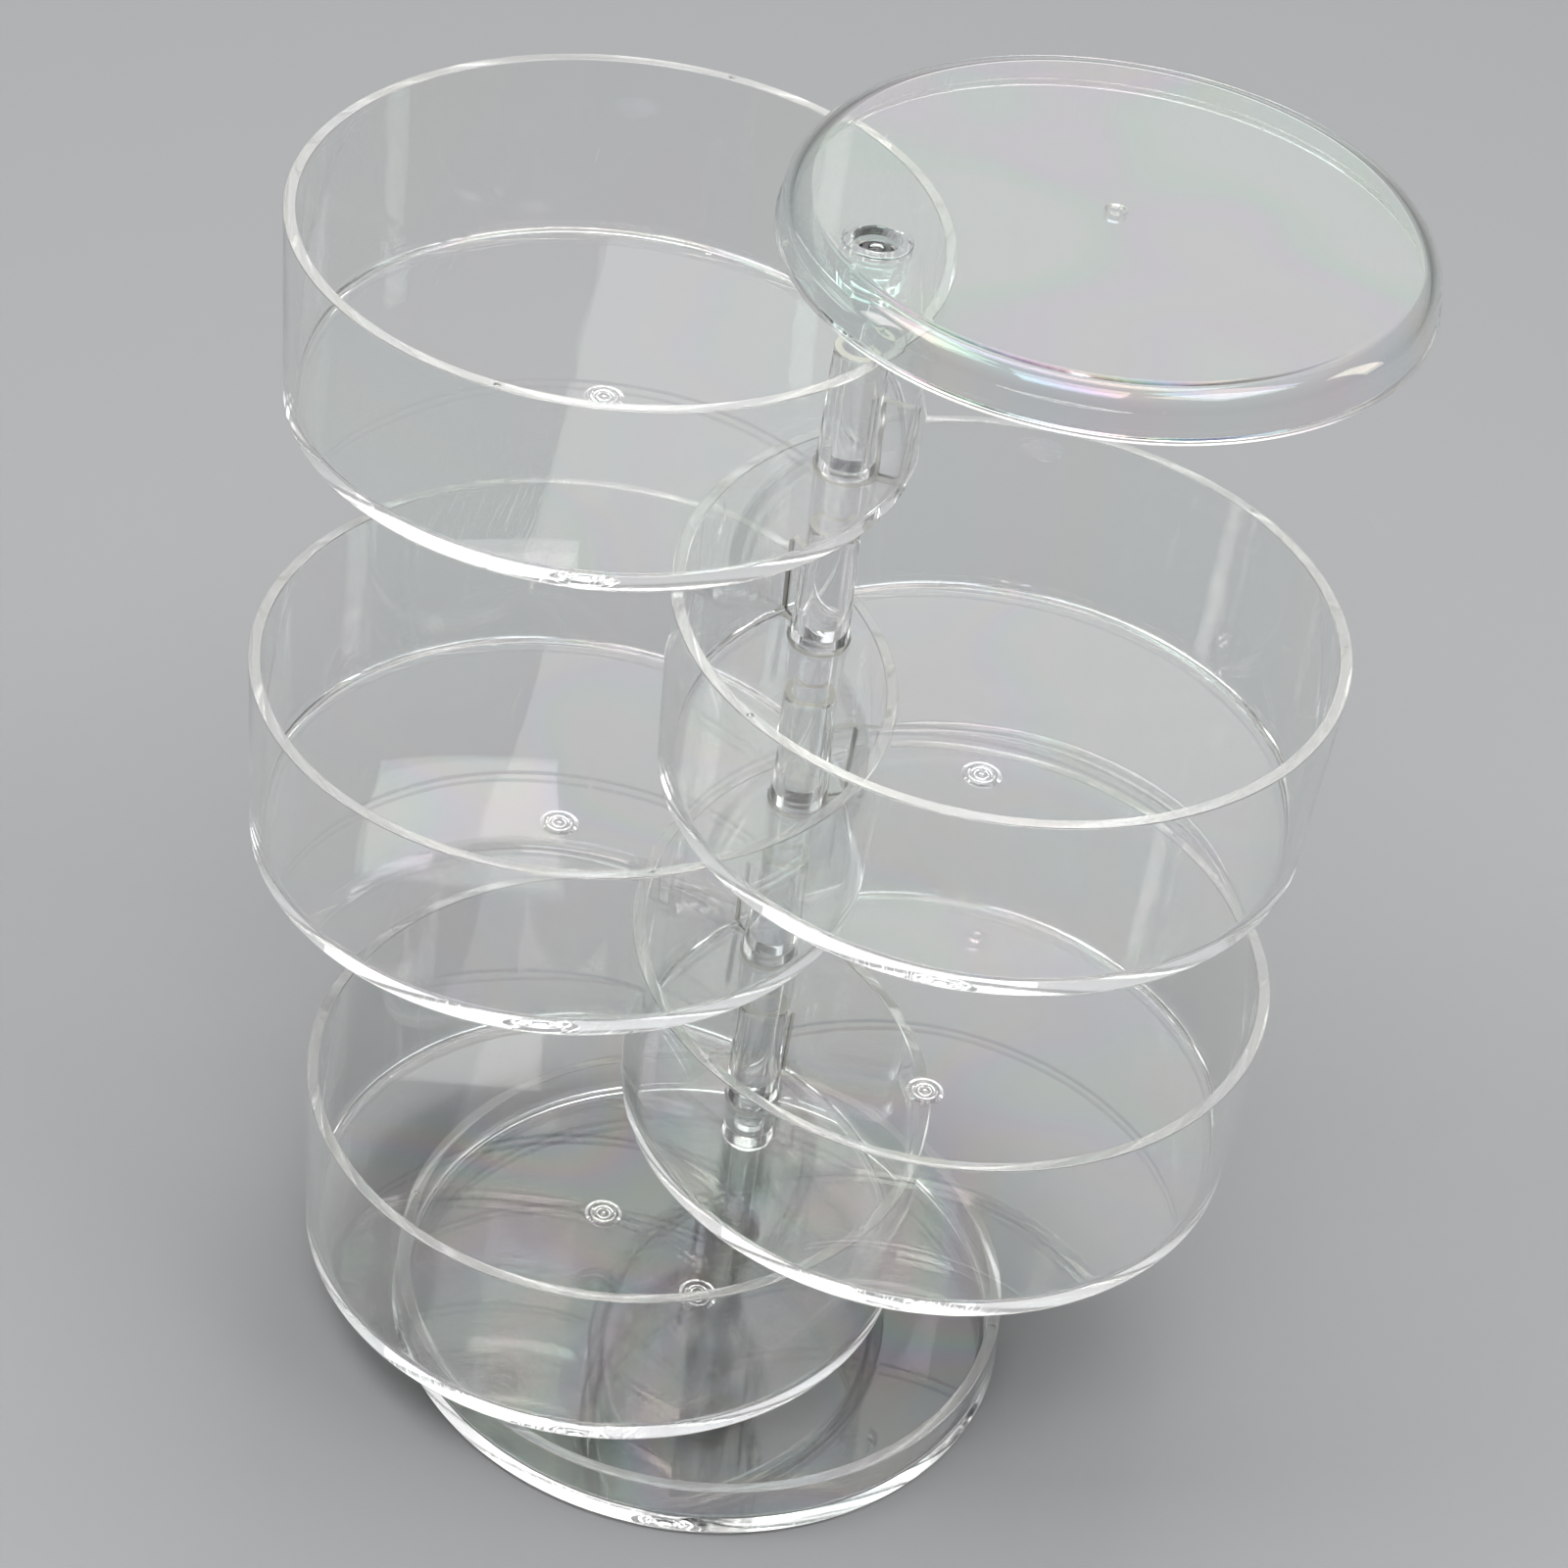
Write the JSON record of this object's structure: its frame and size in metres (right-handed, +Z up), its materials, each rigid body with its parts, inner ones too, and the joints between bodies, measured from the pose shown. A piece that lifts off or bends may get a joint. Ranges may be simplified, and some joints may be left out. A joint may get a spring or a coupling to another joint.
{
  "type": "swivel tray organiser",
  "caption": "Clear plastic tower of round open trays that swing out on one upright rod, above a shallow dish base, with a flat round lid on the same rod.",
  "frame": {"origin": "on the rod's axis at the underside of the base", "axes": "+Z up along the rod; -Y from the rod towards the middle of the base"},
  "size_m": [0.1707, 0.1608, 0.1822],
  "materials": {
    "clear_plastic": "clear, polished moulding",
    "clear_rod": "clear, polished rod"
  },
  "bodies": {
    "stand": {"base": "clear_plastic", "centre_rod": "clear_rod"},
    "tray_1_body": {"tray_1": "clear_plastic"},
    "tray_2_body": {"tray_2": "clear_plastic"},
    "tray_3_body": {"tray_3": "clear_plastic"},
    "tray_4_body": {"tray_4": "clear_plastic"},
    "tray_5_body": {"tray_5": "clear_plastic"},
    "lid_body": {"lid": "clear_plastic"}
  },
  "joints": [
    {"name": "tray_1_swivel", "type": "hinge", "parent": "stand", "child": "tray_1_body", "pos_m": [0, 0, 0.15725], "axis": [0, 0, 1], "continuous": true},
    {"name": "tray_2_swivel", "type": "hinge", "parent": "stand", "child": "tray_2_body", "pos_m": [0, 0, 0.12445], "axis": [0, 0, 1], "continuous": true},
    {"name": "tray_3_swivel", "type": "hinge", "parent": "stand", "child": "tray_3_body", "pos_m": [0, 0, 0.09165], "axis": [0, 0, 1], "continuous": true},
    {"name": "tray_4_swivel", "type": "hinge", "parent": "stand", "child": "tray_4_body", "pos_m": [0, 0, 0.05885], "axis": [0, 0, 1], "continuous": true},
    {"name": "tray_5_swivel", "type": "hinge", "parent": "stand", "child": "tray_5_body", "pos_m": [0, 0, 0.02605], "axis": [0, 0, 1], "continuous": true},
    {"name": "lid_swivel", "type": "hinge", "parent": "stand", "child": "lid_body", "pos_m": [0, 0, 0.1779], "axis": [0, 0, 1], "continuous": true}
  ]
}
